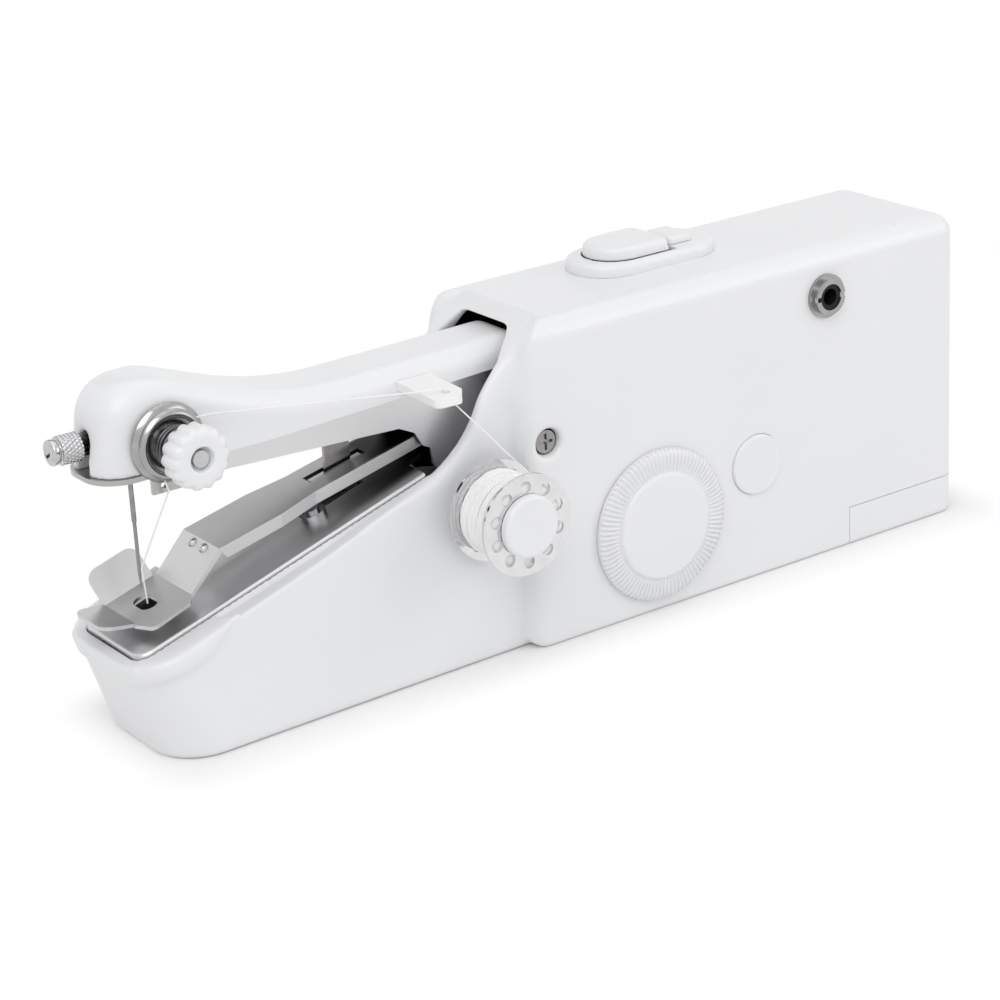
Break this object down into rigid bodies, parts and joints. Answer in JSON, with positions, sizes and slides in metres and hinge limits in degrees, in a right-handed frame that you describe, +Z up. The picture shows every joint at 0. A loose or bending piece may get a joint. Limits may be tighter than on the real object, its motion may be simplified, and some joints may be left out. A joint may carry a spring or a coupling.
{
  "type": "handheld sewing machine",
  "caption": "White battery handheld sewing machine: swinging needle arm, sloping steel deck with presser foot, side bobbin and hand wheel, push switch on top and a slide-off battery cover.",
  "frame": {"origin": "on the table plane under the middle of the machine's length and depth", "axes": "+Z up, +X from the needle end to the battery end, -Y towards the bobbin and hand wheel side"},
  "size_m": [0.2092, 0.0498, 0.0732],
  "materials": {
    "white_plastic": "glossy moulded plastic",
    "white_small": "semi-gloss moulded plastic",
    "steel": "satin sheet steel",
    "bright_steel": "bright nickel plate",
    "spring_steel": "dark spring steel",
    "thread": "twisted sewing thread",
    "black_plastic": "matte moulding",
    "nylon": "natural nylon",
    "brass": "turned"
  },
  "bodies": {
    "housing": {"front_shell": "white_plastic", "rear_shell": "white_plastic", "switch_bezel": "white_small", "deck_channel": "steel", "deck_stud": "bright_steel", "shaft_bush": "brass", "axle_plug": "white_small", "jack_nut": "bright_steel", "jack_insulator": "black_plastic", "case_screws": "bright_steel", "pivot_screws": "bright_steel", "pivot_pin": "bright_steel", "bobbin_spindle": "bright_steel", "spindle_cap": "white_small", "idler_axle": "bright_steel", "motor_can": "steel", "motor_bell": "black_plastic", "looper_bracket": "steel", "microswitch": "black_plastic", "battery_contacts": "steel", "thread_supply": "thread"},
    "cover": {"battery_cover": "white_plastic", "cover_contact": "steel"},
    "button": {"power_button": "white_small"},
    "lock": {"lock_slider": "white_small"},
    "arm": {"arm_cover": "white_plastic", "arm_channel": "steel", "head_plate": "steel", "needle": "bright_steel", "needle_clamp": "steel", "tension_post": "bright_steel", "tension_disc_inner": "bright_steel", "tension_disc_outer": "bright_steel", "tension_spring": "spring_steel", "thread_guide": "white_small", "thread_run": "thread", "lifter_strap": "steel"},
    "knob": {"tension_knob": "white_small"},
    "clamp": {"clamp_screw": "bright_steel"},
    "drive": {"handwheel": "white_small", "main_shaft": "bright_steel", "main_gear": "nylon", "crank_pin": "bright_steel"},
    "idler": {"idler_gear": "nylon"},
    "rotor": {"motor_shaft": "bright_steel", "motor_pinion": "nylon"},
    "feed": {"feed_carriage": "steel"},
    "presser": {"presser_foot": "steel", "presser_pin": "bright_steel"},
    "hook": {"looper": "steel", "looper_shaft": "bright_steel"},
    "spool": {"bobbin": "bright_steel", "thread_pack": "thread", "thread_winding": "thread"}
  },
  "joints": [
    {"name": "arm_swing", "type": "hinge", "parent": "housing", "child": "arm", "pos_m": [-0.0056, 0, 0.0432], "axis": [0, -1, 0], "range_deg": [0, 8.3], "stiffness_Nm_per_rad": 0.35, "springref_deg": -3.44, "deforming": ["thread_supply", "thread_run"]},
    {"name": "handwheel_turn", "type": "hinge", "parent": "housing", "child": "drive", "pos_m": [0.0209, 0, 0.0192], "axis": [0, 1, 0], "continuous": true},
    {"name": "idler_turn", "type": "hinge", "parent": "housing", "child": "idler", "pos_m": [0.0351, 0, 0.0259], "axis": [0, 1, 0], "continuous": true},
    {"name": "rotor_turn", "type": "hinge", "parent": "housing", "child": "rotor", "pos_m": [0.0472, 0, 0.0254], "axis": [0, 1, 0], "continuous": true},
    {"name": "looper_rock", "type": "hinge", "parent": "housing", "child": "hook", "pos_m": [-0.07, 0.005, 0.012], "axis": [1, 0, 0], "range_deg": [0, 24.9]},
    {"name": "feed_slide", "type": "slide", "parent": "housing", "child": "feed", "axis": [0.957, 0, 0.29], "range_m": [0, 0.0015]},
    {"name": "presser_lift", "type": "hinge", "parent": "feed", "child": "presser", "pos_m": [-0.016, 0, 0.0474], "axis": [0, 1, 0], "range_deg": [-0.6, 3.2], "stiffness_Nm_per_rad": 0.3},
    {"name": "bobbin_spin", "type": "hinge", "parent": "housing", "child": "spool", "pos_m": [-0.0204, -0.0242, 0.0334], "axis": [0, 1, 0], "continuous": true},
    {"name": "tension_turn", "type": "hinge", "parent": "arm", "child": "knob", "pos_m": [-0.0848, -0.0196, 0.0611], "axis": [0, 1, 0], "range_deg": [-180, 180]},
    {"name": "clamp_turn", "type": "hinge", "parent": "arm", "child": "clamp", "pos_m": [-0.1, 0, 0.0614], "axis": [1, 0, 0], "range_deg": [-180, 180]},
    {"name": "button_press", "type": "slide", "parent": "housing", "child": "button", "axis": [0, 0, -1], "range_m": [0, 0.002], "stiffness_N_per_m": 600, "springref_m": -0.001},
    {"name": "lock_slide", "type": "slide", "parent": "housing", "child": "lock", "axis": [1, 0, 0], "range_m": [0, 0.0022]},
    {"name": "cover_slide", "type": "slide", "parent": "housing", "child": "cover", "axis": [1, 0, 0], "range_m": [0, 0.034]}
  ],
  "couplings": [
    {"joint": "idler_turn", "follows": "handwheel_turn", "ratio": -3.3333},
    {"joint": "rotor_turn", "follows": "handwheel_turn", "ratio": 10},
    {"joint": "looper_rock", "follows": "arm_swing", "ratio": 3},
    {"joint": "feed_slide", "follows": "arm_swing", "m_per_rad": 0.010286}
  ]
}
